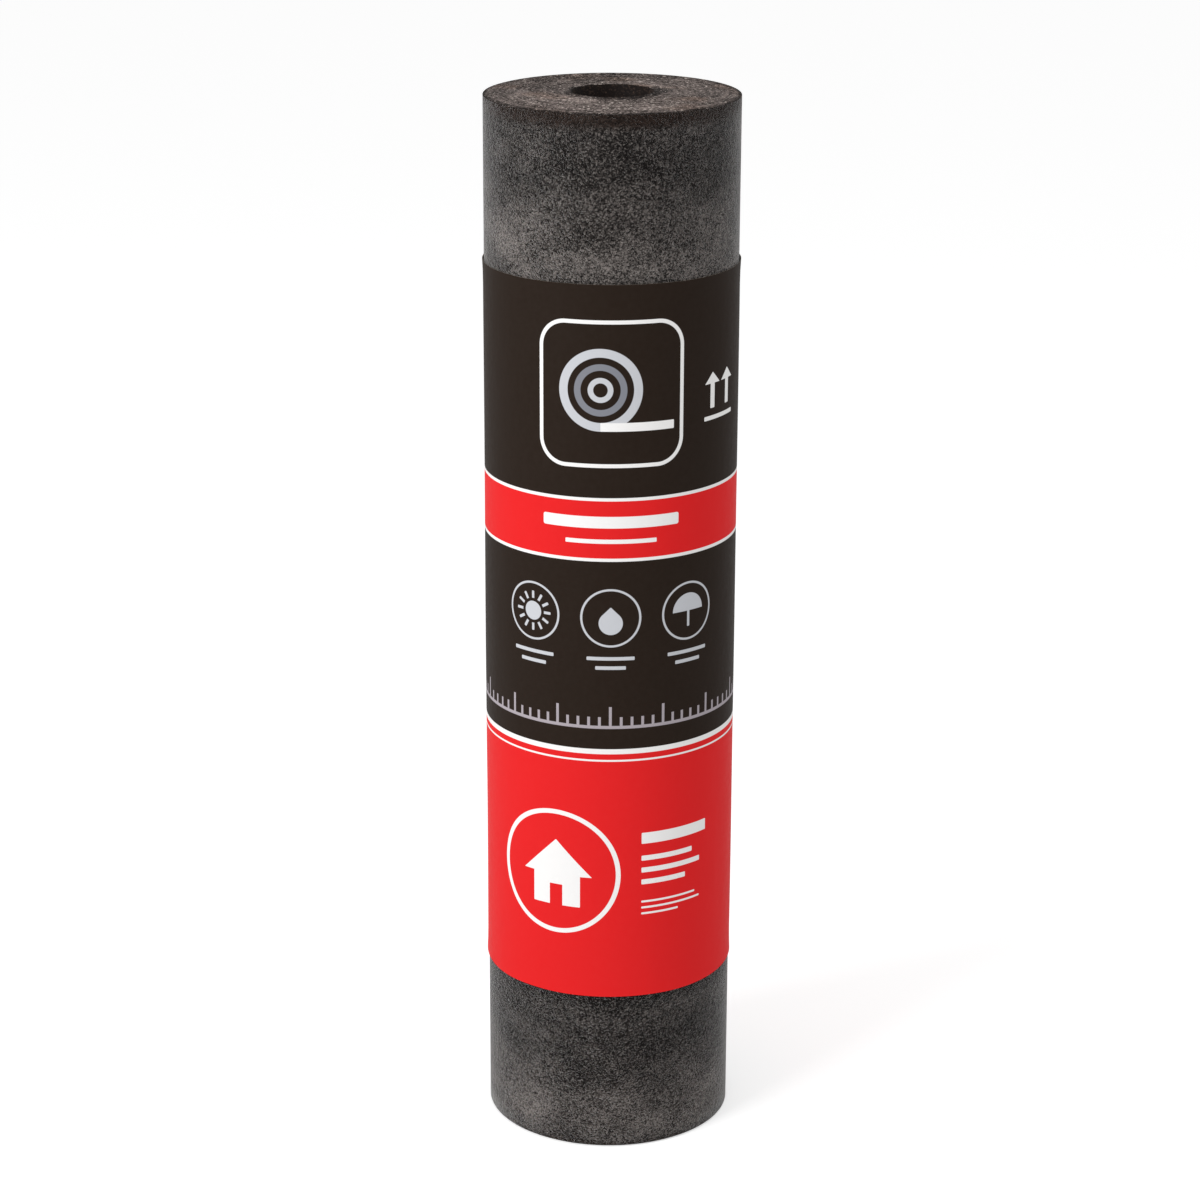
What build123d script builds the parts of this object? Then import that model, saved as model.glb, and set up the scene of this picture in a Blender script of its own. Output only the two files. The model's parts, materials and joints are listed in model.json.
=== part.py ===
from build123d import *
from math import acos, degrees
import os

# Roll of bitumen roofing felt, standing on end, with a printed paper sleeve round its middle.
# Millimetres, +Z up. The origin is on the roll's axis, in the plane of the end that it stands on,
# and -Y is the front of the label.

# The felt
roll_length = 1000.0
roll_diameter = 236.0
bore_diameter = 76.0
sheet_thickness = 1.3
outer_end_angle = 62.0
inner_end_angle = 205.0

# The gaps between turns that show on the two ends
turns_per_gap = 6
gap_depth = 1.0
gap_mouth = 0.8
rim_crush = 0.5

# The paper sleeve
sleeve_bottom = 159.0
sleeve_height = 688.0
paper_thickness = 0.3
glued_lap_width = 28.0
glued_lap_angle = 96.0

roll_radius = roll_diameter / 2
bore_radius = bore_diameter / 2
outer_end_plane = Plane.XY.rotated((0, 0, outer_end_angle))
inner_end_plane = Plane.XY.rotated((0, 0, inner_end_angle))
lap_plane = Plane.XY.rotated((0, 0, glued_lap_angle))

# The outermost turn is two half circles with centres half a sheet apart, the second one smaller
second_centre = -sheet_thickness / 2
second_radius = roll_radius - sheet_thickness / 2


def wound_line():
    """Line round the outermost turn, from the free end of the sheet to the turn that it lies on.

    The radius falls by one sheet thickness in a turn, which leaves the step of the free end.
    """
    CenterArc((0, 0), roll_radius, 0, 180)
    CenterArc((second_centre, 0), second_radius, 180, 180)
    Line((roll_radius - sheet_thickness, 0), (roll_radius, 0))


def taut_line():
    """Inner line of paper pulled tight round the roll.

    It leaves the outermost turn where it can run straight to the corner of the sheet's free end.
    """
    lifted_angle = degrees(acos(second_radius / (roll_radius - second_centre)))
    CenterArc((0, 0), roll_radius, 0, 180)
    held_arc = CenterArc((second_centre, 0), second_radius, 180, 180 - lifted_angle)
    Line(held_arc @ 1, (roll_radius, 0))


def lifted_space():
    """Space beside the inner end of the sheet, where the next turn runs straight over its corner."""
    lifted_angle = degrees(acos(bore_radius / (bore_radius + sheet_thickness)))
    landing_point = Vector(bore_radius, 0).rotate(Axis.Z, lifted_angle)
    Polygon((0, 0), (bore_radius + sheet_thickness, 0), landing_point, align=None)


def turn_gaps(end_height, inwards):
    """V-shaped gaps between turns on one end, each a triangle on the XZ plane."""
    gap_pitch = turns_per_gap * sheet_thickness
    gap_count = int((roll_radius - bore_radius - 2 * sheet_thickness) / gap_pitch)
    for number in range(1, gap_count + 1):
        gap_radius = bore_radius + number * gap_pitch
        Polygon(
            (gap_radius - gap_mouth / 2, end_height),
            (gap_radius + gap_mouth / 2, end_height),
            (gap_radius, end_height + inwards * gap_depth),
            align=None,
        )


# Felt roll: the wound outline run along the whole width of the sheet, bored through and turned on its ends
with BuildPart() as felt_roll:
    with BuildSketch(outer_end_plane):
        with BuildLine():
            wound_line()
        make_face()
    extrude(amount=roll_length)
    rims = felt_roll.edges().filter_by(GeomType.CIRCLE)
    chamfer(rims, length=rim_crush)
    Hole(bore_radius)
    with BuildSketch(inner_end_plane):
        lifted_space()
    extrude(amount=roll_length, mode=Mode.SUBTRACT)
    with BuildSketch(Plane.XZ):
        turn_gaps(0, 1)
        turn_gaps(roll_length, -1)
    revolve(axis=Axis.Z, mode=Mode.SUBTRACT)
felt_roll.part.label = "felt_roll"

# What the paper goes round: the roll with the space beside the step of the free end filled
with BuildSketch() as taut_section:
    with BuildLine():
        taut_line()
    make_face()

# The same with one layer of paper on it
with BuildSketch() as single_section:
    add(taut_section.sketch)
    offset(amount=paper_thickness)

# Label sleeve: one layer of paper all round, and two where its ends are glued over each other
with BuildPart() as label_sleeve:
    with BuildSketch(Plane.XY.offset(sleeve_bottom)):
        with Locations(outer_end_plane.location):
            add(single_section.sketch)
        offset(amount=paper_thickness)
        with Locations(lap_plane.location * Location((roll_radius, 0))):
            Rectangle(roll_radius, glued_lap_width, mode=Mode.INTERSECT)
        with Locations(outer_end_plane.location):
            add(single_section.sketch)
            add(taut_section.sketch, mode=Mode.SUBTRACT)
    extrude(amount=sleeve_height)
label_sleeve.part.label = "label_sleeve"

os.makedirs("parts", exist_ok=True)
for piece in (felt_roll, label_sleeve):
    export_step(piece.part, f"parts/{piece.part.label}.step")
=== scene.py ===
import json
import math
import bpy
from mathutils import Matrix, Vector, noise


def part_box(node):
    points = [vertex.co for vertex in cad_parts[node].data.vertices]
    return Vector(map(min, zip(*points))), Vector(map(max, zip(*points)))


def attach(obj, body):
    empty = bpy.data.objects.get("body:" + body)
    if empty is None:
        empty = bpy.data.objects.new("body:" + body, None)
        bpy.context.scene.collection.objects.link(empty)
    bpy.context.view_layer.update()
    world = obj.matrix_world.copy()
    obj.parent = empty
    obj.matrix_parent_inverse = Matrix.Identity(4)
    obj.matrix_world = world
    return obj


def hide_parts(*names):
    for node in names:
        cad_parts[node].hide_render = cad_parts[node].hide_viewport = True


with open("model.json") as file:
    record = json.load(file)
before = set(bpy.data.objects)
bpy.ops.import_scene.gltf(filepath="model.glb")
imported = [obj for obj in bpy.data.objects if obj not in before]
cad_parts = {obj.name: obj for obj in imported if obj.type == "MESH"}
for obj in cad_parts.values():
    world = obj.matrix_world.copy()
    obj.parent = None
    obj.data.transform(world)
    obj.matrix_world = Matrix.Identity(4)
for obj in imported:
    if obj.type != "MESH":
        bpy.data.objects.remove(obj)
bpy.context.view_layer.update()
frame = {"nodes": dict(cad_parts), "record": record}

# Roll of bitumen roofing felt, standing on end, with a printed paper sleeve round its middle.
# Lengths are in metres. Angles are counted from +X towards +Y, and the front of the sleeve faces -Y.

MM = 0.001
felt_low, felt_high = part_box("felt_roll")
sleeve_low, sleeve_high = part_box("label_sleeve")
bore_mount = next(mount for mount in frame["record"]["mounts"] if mount["name"] == "bore")

# Places nearer to each other than this count as the same
tolerance = 0.1 * MM

roll_height = felt_high.z - felt_low.z
roll_radius = max(vertex.co.xy.length for vertex in frame["nodes"]["felt_roll"].data.vertices)
bore_radius = bore_mount["dims"]["r_mm"] * MM

# The felt sheet and how it is wound, from its inner end in the bore to its free end at the back
turn_pitch = 1.3 * MM
felt_thickness = 1.15 * MM
felt_edge_round = 0.24 * MM
outer_end_angle = math.radians(62)
inner_end_angle = math.radians(205)
climb_share = 0.04
settling_turns = 14
slack = 0.3 * MM
slack_change_per_turn = 0.13
tight_turns = 3
path_steps_per_turn = 96
felt_step = 5.2 * MM
felt_smooth_angle = math.radians(50)

# How uneven the felt is on its two ends, with waves counted per metre of sheet
edge_wander = 0.9 * MM
slow_waves = 0.9
slow_share = 0.55
quick_waves = 9
quick_share = 0.3
core_push = 1.7 * MM
rim_fall = 1.0 * MM
fallen_turns = 4

# How uneven its last turn and its free end are
refined_turns = 1.1
face_rows = 48
face_wave = 0.22 * MM
face_waves_along = 9
face_waves_up = 4
free_end_lift = 2.6 * MM
free_end_length = 60 * MM
free_end_raggedness = 0.8 * MM
free_end_waves = 30

# The felt's finishes, in the order of its slots: inner face, outer face, cut edge and hidden turns
inner_finish, outer_finish, cut_finish, hidden_finish = range(4)

# The room that each side of the felt has on its map for textures: left, low, right and high
texture_map = "OFBake"
print_map = "print"
outside_room = (0.0, 0.0, 0.6, 1.0)
hidden_room = (0.62, 0.0, 0.67, 1.0)
bore_room = (0.69, 0.0, 0.99, 0.36)
foot_room = (0.69, 0.38, 0.99, 0.68)
top_room = (0.69, 0.7, 0.99, 1.0)

# A face belongs to an end of the roll where its normal points up or down by more than this
level_enough = 0.5

# The paper sleeve
sleeve_bottom = sleeve_low.z
sleeve_height = sleeve_high.z - sleeve_low.z
paper_thickness = 0.3 * MM
glued_lap_width = 28 * MM
glued_lap_angle = math.radians(96)
paper_climb_angle = math.radians(7)
paper_step = 3 * MM
paper_rows = 60
paper_smooth_angle = math.radians(40)
front_angle = math.radians(270)
lap_turn = glued_lap_width / roll_radius
paper_turn = math.tau + lap_turn
paper_start_angle = glued_lap_angle - lap_turn / 2
printed_share_of_map = 0.94
strip_margin_share = 0.01

# How loosely the paper lies, with waves counted per metre of height
paper_slack = 0.54 * MM
slack_waves = 5
edge_lift = 1.3 * MM
edge_lift_width = 18 * MM
ripples_per_slack_wave = 2.5
lap_skew = 1.8 * MM
lap_lift = 1.4 * MM
lap_lift_waves = 12
lap_free_width = 9 * MM

# Seeds that keep one noise apart from another
foot_seed = 1
top_seed = 2
free_end_seed = 3
quick_seed = 5
lap_seed = 7

# The dust on the outer face lies in faint bands up the roll, in millimetres
dust_band_pitch = 169
dust_band_height = 25

# The print, in millimetres: heights of the signs above the paper's lower edge, and how far they
# lie to the right of the front's middle
red_field_top = 250
broad_rule_height = 248
broad_rule_width = 5
thin_rule_height = 239
thin_rule_width = 1.8
roll_sign_height = 588
arrows_across = 116
arrows_height = 556
red_band_height = 462
weather_signs_height = 378
scale_height = 272
house_across = -52
house_height = 124
lines_across = 30
lines_height = 160

# The camera stands in front of the roll, looks down on it and takes in its whole height
camera_distance = 2.9
camera_height = 1.464
camera_pitch_down = 0.31595
camera_yaw = 0.0044
camera_roll = -0.003
camera_focal_length = 96.47
camera_sensor_width = 36

# The studio: two soft lamps that face the middle of the roll, a white sky and a white floor
roll_middle = (0, 0, felt_low.z + roll_height / 2)
key_lamp = {"size": 1.6, "power": 70, "place": (-2.3, -1.9, 2.0)}
fill_lamp = {"size": 2.0, "power": 13, "place": (2.8, -0.9, 1.6)}
white_light = (1, 1, 1, 1)
sky_light = 0.58
floor_side = 60
floor_grey = (0.8, 0.8, 0.8, 1)
floor_glow = 0.5


def deselect_all():
    if bpy.context.object and bpy.context.object.mode != "OBJECT":
        bpy.ops.object.mode_set(mode="OBJECT")
    bpy.ops.object.select_all(action="DESELECT")


def select_only(piece):
    deselect_all()
    piece.select_set(True)
    bpy.context.view_layer.objects.active = piece


def select_edges(piece, wanted):
    """Leaves the piece in edit mode with only those edges selected whose two ends pass the test."""
    select_only(piece)
    bpy.ops.object.mode_set(mode="EDIT")
    bpy.ops.mesh.select_mode(type="EDGE")
    bpy.ops.mesh.select_all(action="DESELECT")
    bpy.ops.object.mode_set(mode="OBJECT")
    places = [vertex.co for vertex in piece.data.vertices]
    for edge in piece.data.edges:
        edge.select = wanted(places[edge.vertices[0]], places[edge.vertices[1]])
    bpy.ops.object.mode_set(mode="EDIT")


def clipped(value):
    """The value, or the nearer of 0 and 1 where it lies past them."""
    return min(1, max(0, value))


def smoothstep(value):
    value = clipped(value)
    return value * value * (3 - 2 * value)


def noise_share(x, y, z):
    """Smooth noise from 0 to 1."""
    return 0.5 + 0.5 * noise.noise(Vector((x, y, z)))


def path_length(points):
    return sum((b - a).length for a, b in zip(points, points[1:]))


# Making a sheet flat and winding it up

def flat_sheet(name, length, height, bottom, columns, rows):
    """Upright flat sheet that starts on the Z axis and runs along +X, with its face to -Y and a UV map."""
    deselect_all()
    bpy.ops.mesh.primitive_grid_add(
        x_subdivisions=columns,
        y_subdivisions=rows,
        size=1,
        location=(length / 2, 0, bottom + height / 2),
        rotation=(math.pi / 2, 0, 0),
    )
    sheet = bpy.context.object
    sheet.name = sheet.data.name = name
    sheet.scale = (length, height, 1)
    bpy.ops.object.transform_apply(location=True, rotation=True, scale=True)
    return sheet


def apply_modifier(piece, kind, **settings):
    select_only(piece)
    modifier = piece.modifiers.new(kind.lower(), kind)
    for name, value in settings.items():
        setattr(modifier, name, value)
    bpy.ops.object.modifier_apply(modifier=modifier.name)


def wind_up(sheet, points):
    """Lays a flat sheet along a path on the floor plan. What is at +Y goes to the left of the path."""
    path = bpy.data.curves.new(sheet.name + "_path", "CURVE")
    path.dimensions = "3D"
    path.twist_mode = "Z_UP"
    line = path.splines.new("POLY")
    line.points.add(len(points) - 1)
    for vertex, point in zip(line.points, points):
        vertex.co = (point.x, point.y, 0, 1)
    path_object = bpy.data.objects.new(path.name, path)
    bpy.context.scene.collection.objects.link(path_object)
    apply_modifier(sheet, "CURVE", object=path_object, deform_axis="POS_X")
    bpy.data.objects.remove(path_object)


def smooth(piece, angle):
    """Smooth shading, but for edges sharper than the angle."""
    select_only(piece)
    bpy.ops.object.shade_smooth_by_angle(angle=angle)


# The felt

part_turn = (inner_end_angle - outer_end_angle) / math.tau % 1
whole_turns = round((roll_radius - bore_radius - turn_pitch) / turn_pitch - part_turn)
turn_count = whole_turns + part_turn
innermost_radius = bore_radius + felt_thickness / 2
true_pitch = (roll_radius - felt_thickness / 2 - innermost_radius) / turn_count


def past_free_end(angle):
    """How far round an angle lies from the felt's free end, less than a whole turn."""
    return (angle - outer_end_angle) % math.tau


def wound_point(turns):
    """Point on the middle of the felt, so many turns from its inner end.

    The first turns climb over the inner end, and further out the radius grows evenly. The air
    between turns varies a little, and dies out at both ends of the sheet.
    """
    angle = inner_end_angle - turns * math.tau
    whole = math.floor(turns)
    share = turns - whole
    evenness = min(1, whole / settling_turns)
    climb = max(0, 1 - (1 - share) / climb_share)
    radius = innermost_radius + true_pitch * (whole + share * evenness + climb * (1 - evenness))
    spot = Vector((math.cos(angle), math.sin(angle), turns * slack_change_per_turn))
    ends = smoothstep(turns / tight_turns) * smoothstep((turn_count - turns) / tight_turns)
    radius += slack * ends * noise.noise(spot)
    return Vector((radius * math.cos(angle), radius * math.sin(angle)))


def wander(along, seed):
    """How far an edge of the wound felt stands out of line, from 0 to 1."""
    slow = noise.noise(Vector((along * slow_waves, seed, 0)))
    quick = noise.noise(Vector((along * quick_waves, seed, quick_seed)))
    return clipped(0.5 + slow_share * slow + quick_share * quick)


def roughen_felt(felt, length, outside_start):
    """Gives the flat sheet its uneven edges, the waves of its last turn and its springy free end.

    The inner turns stand a little higher than the outer ones, and the last few are pushed in.
    """
    for vertex in felt.data.vertices:
        place = vertex.co
        to_free_end = length - place.x
        radius = math.sqrt(bore_radius ** 2 + place.x * turn_pitch / math.pi)
        outwards = (radius - bore_radius) / (roll_radius - bore_radius)
        fallen = rim_fall * max(0, 1 - to_free_end / (fallen_turns * math.tau * roll_radius)) ** 2
        if place.z < felt_low.z + tolerance:
            place.z += edge_wander * wander(place.x, foot_seed) + fallen + core_push * (1 - outwards)
        elif place.z > felt_high.z - tolerance:
            place.z -= edge_wander * wander(place.x, top_seed) + fallen + core_push * outwards
        if place.x > outside_start:
            wave = noise_share(place.x * face_waves_along, 0, place.z * face_waves_up)
            place.y -= face_wave * (1 - wave)
        past_sleeve = max(sleeve_low.z - place.z, place.z - sleeve_high.z)
        freedom = smoothstep(past_sleeve / (sleeve_low.z - felt_low.z))
        place.y += free_end_lift * freedom * max(0, 1 - to_free_end / free_end_length) ** 2
        if to_free_end < tolerance:
            place.x -= free_end_raggedness * noise_share(0, free_end_seed, place.z * free_end_waves)


def make_wound_felt():
    """The sheet made flat at its full length, refined where it faces out, and wound up."""
    steps = round(turn_count * path_steps_per_turn)
    points = [wound_point(turn_count * step / steps) for step in range(steps + 1)]
    length = path_length(points)
    columns = round(length / felt_step)
    felt = flat_sheet("wound_felt", length, roll_height, felt_low.z, columns, rows=1)

    outside_start = length - refined_turns * math.tau * roll_radius
    select_edges(felt, lambda a, b: abs(a.x - b.x) < tolerance and a.x > outside_start)
    bpy.ops.mesh.subdivide(number_cuts=face_rows)
    bpy.ops.object.mode_set(mode="OBJECT")
    roughen_felt(felt, length, outside_start)

    for finish in (bitumen_back, mineral_felt, cut_felt, pressed_felt):
        felt.data.materials.append(finish())
    apply_modifier(
        felt,
        "SOLIDIFY",
        thickness=felt_thickness,
        offset=0,
        material_offset=outer_finish - inner_finish,
        material_offset_rim=cut_finish - inner_finish,
    )
    apply_modifier(
        felt, "BEVEL", width=felt_edge_round, segments=1, limit_method="ANGLE", material=cut_finish
    )
    wind_up(felt, points)
    smooth(felt, felt_smooth_angle)
    lay_out_felt(felt)
    return felt


def room_for(face, bearing):
    """Room on the map for a face of the wound felt, by where it lies and which way it faces."""
    from_axis = face.center.xy.length
    faces_out = face.normal.xy.dot(face.center.xy) > 0
    outermost = roll_radius - turn_pitch * (past_free_end(bearing) / math.tau + 0.5)
    if face.normal.z > level_enough:
        return top_room
    if face.normal.z < -level_enough:
        return foot_room
    if faces_out and from_axis > outermost:
        return outside_room
    if not faces_out and from_axis < bore_radius + turn_pitch / 2:
        return bore_room
    return hidden_room


def share_of_end(place):
    """How far across and up a place lies in the square round the roll's end."""
    return [0.5 + 0.5 * distance / roll_radius for distance in place.xy]


def share_of_wall(place, bearing):
    """How far round and up a place lies on the unrolled wall, on the same side as its face's bearing."""
    turned = math.atan2(place.y, place.x) - bearing
    turned -= math.tau * round(turned / math.tau)
    return (past_free_end(bearing) + turned) / math.tau, (place.z - felt_low.z) / roll_height


def lay_out_felt(felt):
    """Map for textures, with most room for what shows. The hidden turns, in one colour, share a strip."""
    on_map = felt.data.uv_layers.new(name=texture_map).uv
    on_piece = felt.data.vertices
    for face in felt.data.polygons:
        bearing = math.atan2(face.center.y, face.center.x)
        room = room_for(face, bearing)
        left, low, right, high = room
        if room is hidden_room:
            face.material_index = hidden_finish
        for corner in face.loop_indices:
            place = on_piece[felt.data.loops[corner].vertex_index].co
            if room in (top_room, foot_room):
                across, up = share_of_end(place)
            else:
                across, up = share_of_wall(place, bearing)
            on_map[corner].vector = (
                left + clipped(across) * (right - left),
                low + clipped(up) * (high - low),
            )


# The paper sleeve

def taut_radius(angle):
    """Radius of a tight wrap round the felt, which runs straight to the corner of the felt's free end."""
    to_end = math.tau - past_free_end(angle)
    lifted_angle = math.acos((roll_radius - turn_pitch) / roll_radius)
    held = roll_radius - turn_pitch * past_free_end(angle) / math.tau
    if to_end < lifted_angle:
        return max(held, (roll_radius - turn_pitch) / math.cos(lifted_angle - to_end))
    return held


def sleeve_points():
    """Middle of the paper, from its end that is glued under, once round, to the end that lies over it."""
    steps = round(paper_turn * roll_radius / paper_step)
    points = []
    for step in range(steps + 1):
        travelled = paper_turn * step / steps
        climbed = smoothstep((travelled - math.tau + paper_climb_angle) / paper_climb_angle)
        angle = paper_start_angle + travelled
        radius = taut_radius(angle) + paper_thickness * (0.5 + climbed)
        points.append(Vector((radius * math.cos(angle), radius * math.sin(angle))))
    return points


def front_share(points):
    """Share of the paper's length that lies before the middle of the front."""
    last = round((front_angle - paper_start_angle) / paper_turn * (len(points) - 1))
    return path_length(points[: last + 1]) / path_length(points)


def loosen_paper(sleeve, length):
    """Moves the flat paper off the felt by its slack, which its two glued ends share, and lifts its edges.

    It is wrapped a little askew, so its ends don't quite meet in height, and the last of the lap is loose.
    """
    once_round = length - glued_lap_width
    for vertex in sleeve.data.vertices:
        place = vertex.co
        bearing = math.tau * place.x / once_round
        spot = Vector((math.cos(bearing), math.sin(bearing), place.z * slack_waves))
        from_edge = min(place.z - sleeve_low.z, sleeve_high.z - place.z)
        nearness = 1 - smoothstep(from_edge / edge_lift_width)
        ripple = noise_share(*(spot * ripples_per_slack_wave))
        loose = max(0, 1 - (length - place.x) / lap_free_width) ** 2
        looseness = noise_share(0, lap_seed, place.z * lap_lift_waves)
        place.y -= paper_slack * (1 + noise.noise(spot))
        place.y -= edge_lift * nearness * ripple + lap_lift * loose * looseness
        place.z += lap_skew * (place.x / length - 0.5)


def make_sleeve():
    """The printed paper made flat, loosened a little and wrapped round the felt."""
    points = sleeve_points()
    length = path_length(points)
    columns = len(points) - 1
    sleeve = flat_sheet("printed_sleeve", length, sleeve_height, sleeve_bottom, columns, paper_rows)
    sleeve.data.uv_layers[0].name = print_map
    loosen_paper(sleeve, length)
    sleeve.data.materials.append(printed_paper(length / MM, front_share(points)))
    sleeve.data.materials.append(bare_paper())
    apply_modifier(
        sleeve, "SOLIDIFY", thickness=paper_thickness, offset=0, material_offset=1, material_offset_rim=1
    )
    wind_up(sleeve, points)
    smooth(sleeve, paper_smooth_angle)
    lay_out_sleeve(sleeve)
    return sleeve


def lay_out_sleeve(sleeve):
    """Map for textures, with the print below and a strip for the bare paper above it."""
    on_map = sleeve.data.uv_layers.new(name=texture_map).uv
    on_sheet = sleeve.data.uv_layers[print_map].uv
    for face in sleeve.data.polygons:
        for corner in face.loop_indices:
            across, up = on_sheet[corner].vector
            if face.material_index == 0:
                up *= printed_share_of_map
            else:
                up = strip_margin_share + (1 - strip_margin_share) * up
                up = printed_share_of_map + up * (1 - printed_share_of_map)
            on_map[corner].vector = (across, up)


# Finishes

def linear(*levels):
    """A colour as the screen shows it, in levels up to 255, turned to the linear values that nodes take."""
    shares = [level / 255 for level in levels]
    return tuple(s / 12.92 if s <= 0.04045 else ((s + 0.055) / 1.055) ** 2.4 for s in shares) + (1,)


class Nodes:
    """A tree of nodes under construction. Each call adds a node and gives what comes out of it."""

    def __init__(self, tree):
        self.nodes = tree.nodes
        self.links = tree.links

    def set(self, socket, value):
        if isinstance(value, bpy.types.NodeSocket):
            self.links.new(value, socket)
        else:
            socket.default_value = value

    def add(self, kind, inputs, output=0, **settings):
        node = self.nodes.new("ShaderNode" + kind)
        for name, value in settings.items():
            setattr(node, name, value)
        for name, value in inputs.items():
            self.set(node.inputs[name], value)
        return node.outputs[output]

    def math(self, operation, *values, clamp=False):
        return self.add("Math", dict(enumerate(values)), operation=operation, use_clamp=clamp)

    def total(self, *parts):
        """Sum of patterns, each times its weight."""
        pattern, weight = parts[0]
        result = self.math("MULTIPLY", pattern, weight)
        for pattern, weight in parts[1:]:
            result = self.math("MULTIPLY_ADD", pattern, weight, result)
        return result

    def vector(self, operation, *values):
        output = 1 if operation in ("LENGTH", "DOT_PRODUCT", "DISTANCE") else 0
        return self.add("VectorMath", dict(enumerate(values)), output, operation=operation)

    def part(self, axis, vector):
        return self.add("SeparateXYZ", {0: vector}, axis)

    def spread(self, value, span, onto=(0, 1), smooth=False):
        """One span of the value laid onto another, and cut off past its ends."""
        kind = "SMOOTHSTEP" if smooth else "LINEAR"
        return self.add("MapRange", dict(enumerate((value, *span, *onto))), interpolation_type=kind)

    def blend(self, share, under, over, kind="MIX"):
        inputs = {0: share, 6: under, 7: over}
        return self.add("Mix", inputs, 2, data_type="RGBA", blend_type=kind)


class Finish(Nodes):
    """A material under construction. Sizes of its patterns are in millimetres."""

    def __init__(self, name, **settings):
        self.material = bpy.data.materials.new(name)
        self.material.use_nodes = True
        super().__init__(self.material.node_tree)
        self.finish(**settings)

    def finish(self, **settings):
        """Sets sockets of the shader, by their names with _ for a space, and gives the material."""
        shader = self.nodes["Principled BSDF"]
        for name, value in settings.items():
            self.set(shader.inputs[name.replace("_", " ")], value)
        return self.material

    def in_millimetres(self):
        """Place on the piece."""
        place = self.add("TexCoord", {}, "Object")
        return self.add("VectorMath", {0: place, "Scale": 1 / MM}, operation="SCALE")

    def stretched(self, place, x, y, z):
        return self.vector("DIVIDE", place, (x, y, z))

    def noise(self, place, size, detail=2, roughness=0.5):
        """Cloudy pattern from 0 to 1, whose clouds are about as wide as the size."""
        inputs = {"Vector": place, "Scale": 1 / size, "Detail": detail, "Roughness": roughness}
        return self.add("TexNoise", inputs, "Fac")

    def grains(self, place, size):
        """Grains about as wide as the size, each with a random value from 0 to 1."""
        colour = self.add("TexVoronoi", {"Vector": place, "Scale": 1 / size}, "Color")
        return self.add("SeparateColor", {"Color": colour}, 0)

    def bump(self, height, depth):
        """Relief as deep as the depth where the height goes from 0 to 1."""
        return self.add("Bump", {"Height": height, "Distance": depth * MM, "Strength": 1.0})


def dust_bands(felt, height):
    """Waves from -1 to 1 up the roll, with thick dust where they are high."""
    past_band = felt.math("SUBTRACT", height, dust_band_height)
    return felt.math("COSINE", felt.math("MULTIPLY", past_band, math.tau / dust_band_pitch))


def painted_shadow_below_sleeve(felt, height):
    """Narrow strip of painted shadow along the sleeve's lower edge, which grows from nothing to 1 towards
    the paper.
    """
    foot = sleeve_low.z / MM
    below_paper = (foot - 16, foot - 2)
    behind_paper = (foot, foot + 10)
    nearing = felt.spread(height, below_paper, smooth=True)
    return felt.math("MULTIPLY", nearing, felt.spread(height, behind_paper, (1, 0)))


def bare_rims(felt, height, clumps):
    """Ragged strips without dust along the felt's upper and lower edge."""
    top = roll_height / MM
    raggedness = 8
    top_span = (top - 16, top - 6)
    foot_span = (6, 11)
    ragged = felt.math("MULTIPLY_ADD", clumps, raggedness, height)
    top_rim = felt.spread(ragged, top_span, smooth=True)
    foot_rim = felt.spread(ragged, foot_span, (1, 0), smooth=True)
    return felt.math("MAXIMUM", top_rim, foot_rim)


def mineral_felt():
    """Outer face of the felt, dusted with fine grey mineral that lies thicker in some places, with painted
    shadow under the sleeve's lower edge.
    """
    felt = Finish("mineral_felt", Sheen_Weight=1.0, Sheen_Roughness=0.23, Specular_IOR_Level=0.1)
    bitumen = linear(14, 11, 10)
    mineral = linear(131, 124, 120)
    pale_grain = linear(126, 121, 117)
    dark_brown = linear(13, 9, 7)
    brown = linear(48, 36, 30)
    rim_bareness = 0.9

    place = felt.in_millimetres()
    height = felt.part("Z", place)
    clouds = felt.noise(felt.stretched(place, 1.8, 1.8, 1), size=30, detail=4, roughness=0.6)
    clumps = felt.noise(place, size=4.2, detail=3, roughness=0.65)
    specks = felt.noise(place, size=1.7, detail=2, roughness=0.6)
    grains = felt.grains(place, size=1.2)
    dust = felt.total(
        (clouds, 1.05),
        (dust_bands(felt, height), 0.15),
        (clumps, 0.5),
        (specks, 0.45),
        (grains, 0.65),
        (felt.grains(place, size=0.6), 0.4),
        # Less dust just under the sleeve's lower edge: painted shadow of the paper's edge
        (painted_shadow_below_sleeve(felt, height), -0.4),
    )
    dust = felt.math("POWER", felt.spread(dust, (1.25, 2.12)), 2)
    colour = felt.blend(dust, bitumen, mineral)
    bright = felt.spread(felt.grains(place, size=1.25), (0.8, 1.0), (0, 0.6))
    colour = felt.blend(bright, colour, pale_grain)
    bare = felt.math("MULTIPLY", bare_rims(felt, height, clumps), rim_bareness)
    colour = felt.blend(bare, colour, felt.blend(grains, dark_brown, brown))

    relief = felt.total((clumps, 1), (specks, 0.7), (grains, 0.4))
    return felt.finish(
        Base_Color=colour,
        Roughness=felt.spread(clouds, (0.3, 0.7), (0.95, 0.8)),
        Normal=felt.bump(relief, depth=1.1),
    )


def bitumen_back():
    """Inner face of the felt, dark bitumen with little dust on it, kept darker still as painted shade for
    the bore, where it shows.
    """
    back = Finish("bitumen_back", Specular_IOR_Level=0.1)
    # Bitumen and dust colours, made darker to paint the shade inside the bore
    bitumen = linear(19, 13, 11)
    dusty = linear(60, 48, 42)
    place = back.in_millimetres()
    clumps = back.noise(place, size=3, detail=3, roughness=0.7)
    dust = back.math("MULTIPLY", clumps, back.grains(place, size=1.2))
    return back.finish(
        Base_Color=back.blend(back.spread(dust, (0.3, 0.6)), bitumen, dusty),
        Roughness=back.spread(clumps, (0.3, 0.7), (0.6, 0.8)),
        Normal=back.bump(clumps, depth=0.3),
    )


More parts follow.
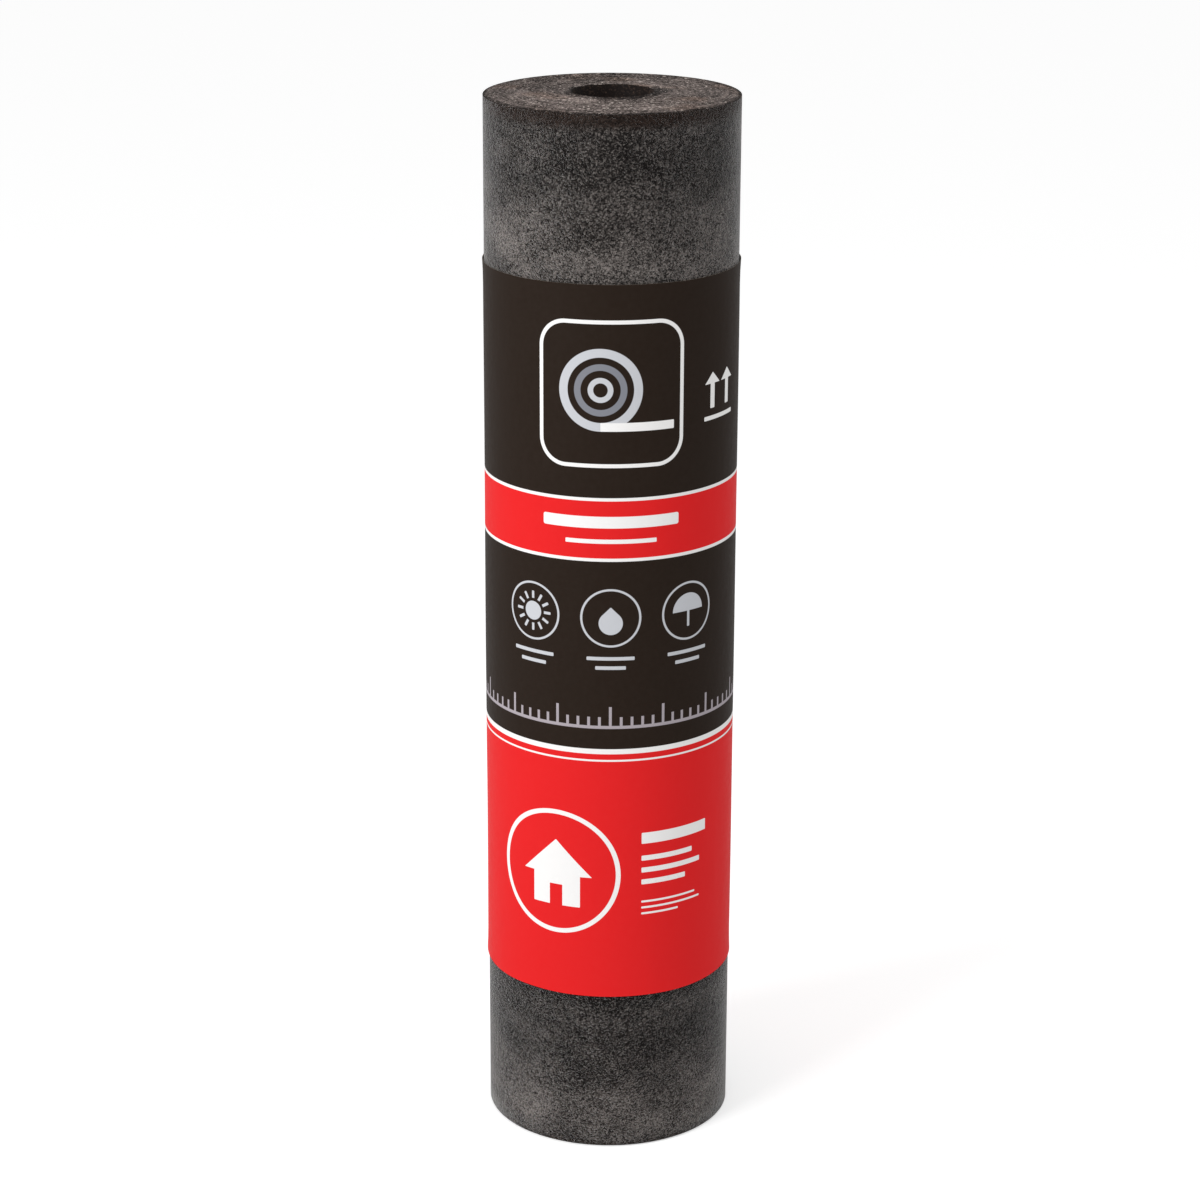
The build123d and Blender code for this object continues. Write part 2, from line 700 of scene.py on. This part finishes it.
def pressed_felt():
    """Faces inside the roll, hidden by the turns that lie on them."""
    return Finish("pressed_felt", Base_Color=linear(32, 27, 24), Roughness=0.9).material


def turn_streaks(edge, flat, radius):
    """Streaks along the turns, a few turns wide, that change about every 20 degrees."""
    turns_per_radian = 6
    bearing = edge.vector("NORMALIZE", flat)
    round_roll = edge.vector("MULTIPLY", bearing, (turns_per_radian, turns_per_radian, 0))
    turns = edge.math("DIVIDE", radius, turn_pitch / MM)
    unrolled = edge.vector("ADD", edge.add("CombineXYZ", {"Z": turns}), round_roll)
    return edge.noise(unrolled, size=2.4, detail=2)


def darker_ring_round_bore(edge, place, radius, clouds, clumps):
    """Ragged ring round the bore where the end is darker, wider at the front and to the right."""
    bore = bore_radius / MM
    fade = (bore + 7, bore + 24)
    narrow_side = (-0.4, 1.3, 0)
    narrowing = edge.vector("DOT_PRODUCT", place, narrow_side)
    ragged = edge.total((radius, 1), (narrowing, 0.12), (clumps, 8), (clouds, 12))
    return edge.spread(ragged, fade, (0.42, 0), smooth=True)


def cut_felt():
    """The felt's cut edge, a little browner, with the dust unevenly rubbed into each turn, and painted
    shade that grows towards the back.
    """
    edge = Finish("cut_felt", Specular_IOR_Level=0.1)
    bitumen = linear(20, 15, 13)
    dusty = linear(166, 152, 146)
    pale_grain = linear(204, 192, 184)
    warm_tint = linear(255, 244, 236)
    rim = roll_radius / MM
    rubbed_width = 7
    painted_shade_span = (0, 100)

    place = edge.in_millimetres()
    flat = edge.vector("MULTIPLY", place, (1, 1, 0))
    radius = edge.vector("LENGTH", flat)
    clouds = edge.noise(place, size=26, detail=2)
    clumps = edge.noise(place, size=3.2, detail=3, roughness=0.7)
    grains = edge.grains(place, size=1.6)
    rubbed_rim = edge.spread(radius, (rim - rubbed_width, rim), (0, 0.45), smooth=True)
    # Painted shade: less dust towards the back of the end, so it is darker there
    back = edge.spread(edge.part("Y", place), painted_shade_span, (0, 0.22))
    dust = edge.total(
        (turn_streaks(edge, flat, radius), 0.85),
        (clouds, 0.8),
        (clumps, 0.7),
        (grains, 0.65),
        (edge.grains(place, size=0.8), 0.4),
        (rubbed_rim, -1),
        (darker_ring_round_bore(edge, place, radius, clouds, clumps), -1),
        # painted shade towards the back
        (back, -1),
    )
    dust = edge.math("POWER", edge.spread(dust, (1.24, 2.24)), 1.4)
    colour = edge.blend(dust, bitumen, dusty)
    bright = edge.spread(edge.grains(place, size=1.9), (0.9, 0.94))
    bright = edge.math("MULTIPLY", bright, edge.spread(dust, (0, 0.4)))
    colour = edge.blend(bright, colour, pale_grain)
    tinted = edge.spread(edge.noise(place, size=48, detail=1), (0.5, 0.7), smooth=True)
    return edge.finish(
        Base_Color=edge.blend(tinted, colour, warm_tint, "MULTIPLY"),
        Roughness=edge.spread(grains, (0, 1), (0.8, 0.95)),
        Normal=edge.bump(clumps, depth=0.3),
    )


# The print on the paper

class Print(Finish):
    """Flat shapes in ink, in millimetres from the front's middle and up from the paper's lower edge.

    A shape is the distance from its outline, less than zero inside.
    """

    ink_edge = 0.35

    def __init__(self, name, length, front, **settings):
        super().__init__(name, **settings)
        inputs = {
            "Vector": self.add("UVMap", {}, "UV", uv_map=print_map),
            "Location": (-front * length, 0, 0),
            "Scale": (length, sleeve_height / MM, 0),
        }
        self.plane = self.add("Mapping", inputs, vector_type="POINT")
        self.across = self.part("X", self.plane)
        self.up = self.part("Y", self.plane)

    def about(self, x, y, turn):
        """The plane with its zero moved to a point and turned anticlockwise."""
        inputs = {"Vector": self.plane, "Location": (x, y, 0), "Rotation": (0, 0, math.radians(turn))}
        return self.add("Mapping", inputs, vector_type="TEXTURE")

    def box(self, x, y, width, height, corner=0.8, turn=0):
        inside = (width / 2 - corner, height / 2 - corner, 0)
        past = self.vector("SUBTRACT", self.vector("ABSOLUTE", self.about(x, y, turn)), inside)
        return self.math("SUBTRACT", self.vector("LENGTH", self.vector("MAXIMUM", past, (0, 0, 0))), corner)

    def disc(self, x, y, radius):
        return self.math("SUBTRACT", self.vector("DISTANCE", self.plane, (x, y, 0)), radius)

    def stripe(self, middle, height):
        """Band all round the paper."""
        from_middle = self.math("ABSOLUTE", self.math("SUBTRACT", self.up, middle))
        return self.math("SUBTRACT", from_middle, height / 2)

    def line_round(self, shape, width):
        return self.math("SUBTRACT", self.math("ABSOLUTE", shape), width / 2)

    def together(self, *shapes):
        joined = shapes[0]
        for shape in shapes[1:]:
            joined = self.math("MINIMUM", joined, shape)
        return joined

    def within(self, shape, other):
        return self.math("MAXIMUM", shape, other)

    def above(self, shape, level):
        """What lies higher than the level."""
        return self.within(shape, self.math("SUBTRACT", level, self.up))

    def ink(self, under, shape, colour):
        covered = self.math("MULTIPLY_ADD", shape, -1 / self.ink_edge, 0.5, clamp=True)
        return self.blend(covered, under, colour)


black = linear(38, 29, 23)
red = linear(223, 34, 36)
white = linear(240, 239, 238)
pale = linear(196, 198, 203)
grey = linear(128, 130, 138)
lilac = linear(168, 160, 166)


def roll_sign(sheet, colour, across, middle):
    """Outlined square with the end of a roll in it, partly unrolled."""
    side, corner, outline_width = 132, 24, 3.6
    roll_x, roll_y = across - 10, middle + 4
    outer_radius, outer_width = 34, 8
    unrolled_length = 68
    outline = sheet.line_round(sheet.box(across, middle, side, side, corner), outline_width)
    colour = sheet.ink(colour, outline, white)
    for radius, width, ink in ((outer_radius, outer_width, pale), (21, 6, grey), (9, 5, pale)):
        turn = sheet.line_round(sheet.disc(roll_x, roll_y, radius), width)
        colour = sheet.ink(colour, turn, ink)
    unrolled_x, unrolled_y = roll_x + unrolled_length / 2, roll_y - outer_radius
    unrolled = sheet.box(unrolled_x, unrolled_y, unrolled_length, outer_width)
    return sheet.ink(colour, unrolled, white)


def this_way_up(sheet, colour, across, base):
    """Two arrows that point up from a line."""
    base_length, base_width = 46, 4
    arrow_offset = 12
    head_side, head_base = 15, base + 32
    stem_width, stem_length, stem_middle = 6, 24, base + 21
    shapes = [sheet.box(across, base, base_length, base_width)]
    for arrow in (across - arrow_offset, across + arrow_offset):
        shapes.append(sheet.above(sheet.box(arrow, head_base, head_side, head_side, turn=45), head_base))
        shapes.append(sheet.box(arrow, stem_middle, stem_width, stem_length))
    return sheet.ink(colour, sheet.together(*shapes), white)


def red_band(sheet, colour, middle):
    """Red band all round with a thin white rule along each side, and a broad and a thin bar on it."""
    band_width, rule_width = 54, 3
    colour = sheet.ink(colour, sheet.stripe(middle, band_width + 2 * rule_width), white)
    colour = sheet.ink(colour, sheet.stripe(middle, band_width), red)
    broad_bar = sheet.box(0, middle + 7, width=128, height=11, corner=2)
    thin_bar = sheet.box(0, middle - 11, width=84, height=4)
    return sheet.ink(colour, sheet.together(broad_bar, thin_bar), white)


def sun(sheet, x, y):
    """Disc with twelve rays that stand clear of it."""
    disc_radius, clear_radius = 9, 12
    ray_reach, ray_width = 19, 2.6
    rays = [sheet.box(x, y, 2 * ray_reach, ray_width, turn=turn) for turn in range(0, 180, 30)]
    clear = sheet.math("MULTIPLY", sheet.disc(x, y, clear_radius), -1)
    return sheet.together(sheet.disc(x, y, disc_radius), sheet.within(sheet.together(*rays), clear))


def drop(sheet, x, y):
    """Disc with a corner of a square on top."""
    radius = 11
    disc_y = y - 5
    point = sheet.box(x, disc_y + radius / math.sqrt(2), radius, radius, turn=45)
    return sheet.together(sheet.disc(x, disc_y, radius), point)


def umbrella(sheet, x, y):
    """Half disc on a stick."""
    canopy_radius = 17
    stick_y, stick_width, stick_length = y - 7, 2.6, 16
    canopy = sheet.above(sheet.disc(x, y, canopy_radius), y)
    return sheet.together(canopy, sheet.box(x, stick_y, stick_width, stick_length))


def weather_signs(sheet, colour, middle):
    """Row of a sun, a drop and an umbrella in rings, with two short bars under each."""
    step = 76
    ring_radius, ring_width = 27, 2
    bar_width = 3.4
    shapes = []
    for x, sign in ((-step, sun), (0, drop), (step, umbrella)):
        shapes.append(sign(sheet, x, middle))
        shapes.append(sheet.line_round(sheet.disc(x, middle, ring_radius), ring_width))
        for down, length in ((39, 44), (48, 28)):
            shapes.append(sheet.box(x, middle - down, length, bar_width))
    return sheet.ink(colour, sheet.together(*shapes), pale)


def measuring_scale(sheet, colour, low):
    """Scale all round with a tick every 10 mm and a longer one every 50 mm."""
    base_width, tick_width = 3, 2.6
    lines = [sheet.stripe(low, base_width)]
    for pitch, height in ((10, 10), (50, 20)):
        from_tick = sheet.math("PINGPONG", sheet.across, pitch / 2)
        ticks = sheet.math("SUBTRACT", from_tick, tick_width / 2)
        lines.append(sheet.within(sheet.stripe(low + height / 2, height), ticks))
    return sheet.ink(colour, sheet.together(*lines), lilac)


def house_sign(sheet, colour, across, middle):
    """House in a ring."""
    ring_radius, ring_width = 60, 4.5
    eaves, roof_side = middle - 3, 50
    wall_width, wall_height, wall_foot = 48, 32, middle - 34
    door_width, door_height, door_foot = 13, 22, wall_foot - 1
    ring = sheet.line_round(sheet.disc(across, middle, ring_radius), ring_width)
    gable = sheet.above(sheet.box(across, eaves, roof_side, roof_side, turn=45), eaves)
    walls = sheet.box(across, wall_foot + wall_height / 2, wall_width, wall_height)
    door = sheet.box(across, door_foot + door_height / 2, door_width, door_height)
    colour = sheet.ink(colour, sheet.together(ring, gable, walls), white)
    return sheet.ink(colour, door, red)


def written_lines(sheet, colour, left, top):
    """Bars that start in line at the left, where words would stand, each so far down, long and wide."""
    rows = ((0, 72, 11), (20, 54, 5), (32, 64, 5), (44, 46, 5), (64, 58, 2), (70, 64, 2), (76, 38, 2))
    bars = [sheet.box(left + length / 2, top - down, length, width) for down, length, width in rows]
    return sheet.ink(colour, sheet.together(*bars), white)


def printed_paper(length, front):
    """Coated paper, near-black above and red below, with plain signs and rules."""
    sheet = Print("printed_paper", length, front, Specular_IOR_Level=0.05)
    colour = sheet.ink(black, sheet.stripe(0, 2 * red_field_top), red)
    colour = sheet.ink(colour, sheet.stripe(broad_rule_height, broad_rule_width), white)
    colour = sheet.ink(colour, sheet.stripe(thin_rule_height, thin_rule_width), white)
    colour = roll_sign(sheet, colour, 0, roll_sign_height)
    colour = this_way_up(sheet, colour, arrows_across, arrows_height)
    colour = red_band(sheet, colour, red_band_height)
    colour = weather_signs(sheet, colour, weather_signs_height)
    colour = measuring_scale(sheet, colour, scale_height)
    colour = house_sign(sheet, colour, house_across, house_height)
    colour = written_lines(sheet, colour, lines_across, lines_height)

    worn_ink = linear(120, 110, 105)
    greatest_wear = 0.012
    place = sheet.in_millimetres()
    mottle = sheet.noise(place, size=5, detail=3)
    wear = sheet.spread(mottle, (0.3, 0.7), (0, greatest_wear))
    colour = sheet.blend(wear, colour, worn_ink, "SCREEN")
    cockle = sheet.noise(sheet.stretched(place, 1, 1, 2), size=22, detail=2)
    return sheet.finish(
        Base_Color=colour,
        Roughness=sheet.spread(mottle, (0.3, 0.7), (0.42, 0.5)),
        Normal=sheet.bump(cockle, depth=0.5),
    )


def bare_paper():
    """The paper's unprinted back and cut edges."""
    paper = Finish("bare_paper", Roughness=0.8)
    dark_fibre = linear(120, 108, 96)
    pale_fibre = linear(165, 152, 138)
    fibres = paper.noise(paper.stretched(paper.in_millimetres(), 1, 1, 3), size=0.7, detail=3)
    return paper.finish(
        Base_Color=paper.blend(fibres, dark_fibre, pale_fibre),
        Normal=paper.bump(fibres, depth=0.05),
    )


wound_felt = make_wound_felt()
printed_sleeve = make_sleeve()

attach(wound_felt, "root")
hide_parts("felt_roll")
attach(printed_sleeve, "root")
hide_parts("label_sleeve")


# The stage

def make_camera():
    """Camera at the height and distance that the view of both ends of the roll gives."""
    data = bpy.data.cameras.new("view")
    data.lens = camera_focal_length
    data.sensor_width = camera_sensor_width
    camera = bpy.data.objects.new("view", data)
    camera.location = (0, -camera_distance, camera_height)
    camera.rotation_euler = (math.pi / 2 - camera_pitch_down, camera_roll, camera_yaw)
    bpy.context.scene.collection.objects.link(camera)
    bpy.context.scene.camera = camera


def make_floor():
    """White floor that keeps the roll's shadow."""
    deselect_all()
    bpy.ops.mesh.primitive_plane_add(size=floor_side, location=(0, 0, felt_low.z))
    floor = bpy.context.object
    floor.name = "floor"
    paint = Finish("floor_paint", Base_Color=floor_grey, Roughness=1, Specular_IOR_Level=0)
    seen = paint.add("LightPath", {}, "Is Camera Ray")
    glow = paint.math("MULTIPLY", seen, floor_glow)
    floor.data.materials.append(paint.finish(Emission_Color=white_light, Emission_Strength=glow))


def make_lamp(name, size, power, place):
    """Square lamp that faces the middle of the roll."""
    lamp = bpy.data.lights.new(name, "AREA")
    lamp.size = size
    lamp.energy = power
    lamp_object = bpy.data.objects.new(name, lamp)
    lamp_object.location = place
    facing = Vector(roll_middle) - Vector(place)
    lamp_object.rotation_euler = facing.to_track_quat("-Z", "Y").to_euler()
    bpy.context.scene.collection.objects.link(lamp_object)


def make_sky():
    """White studio all round, which the camera and glossy surfaces see at full strength."""
    world = bpy.data.worlds.new("studio")
    world.use_nodes = True
    sky = Nodes(world.node_tree)
    seen = sky.add("LightPath", {}, "Is Camera Ray")
    for ray in ("Is Glossy Ray", "Is Transmission Ray"):
        seen = sky.math("MAXIMUM", seen, sky.add("LightPath", {}, ray))
    background = sky.nodes["Background"]
    sky.set(background.inputs["Color"], white_light)
    sky.set(background.inputs["Strength"], sky.spread(seen, (0, 1), (sky_light, 1)))
    bpy.context.scene.world = world


make_camera()
make_floor()
make_lamp("key", **key_lamp)
make_lamp("fill", **fill_lamp)
make_sky()
bpy.context.scene.view_settings.view_transform = "Standard"
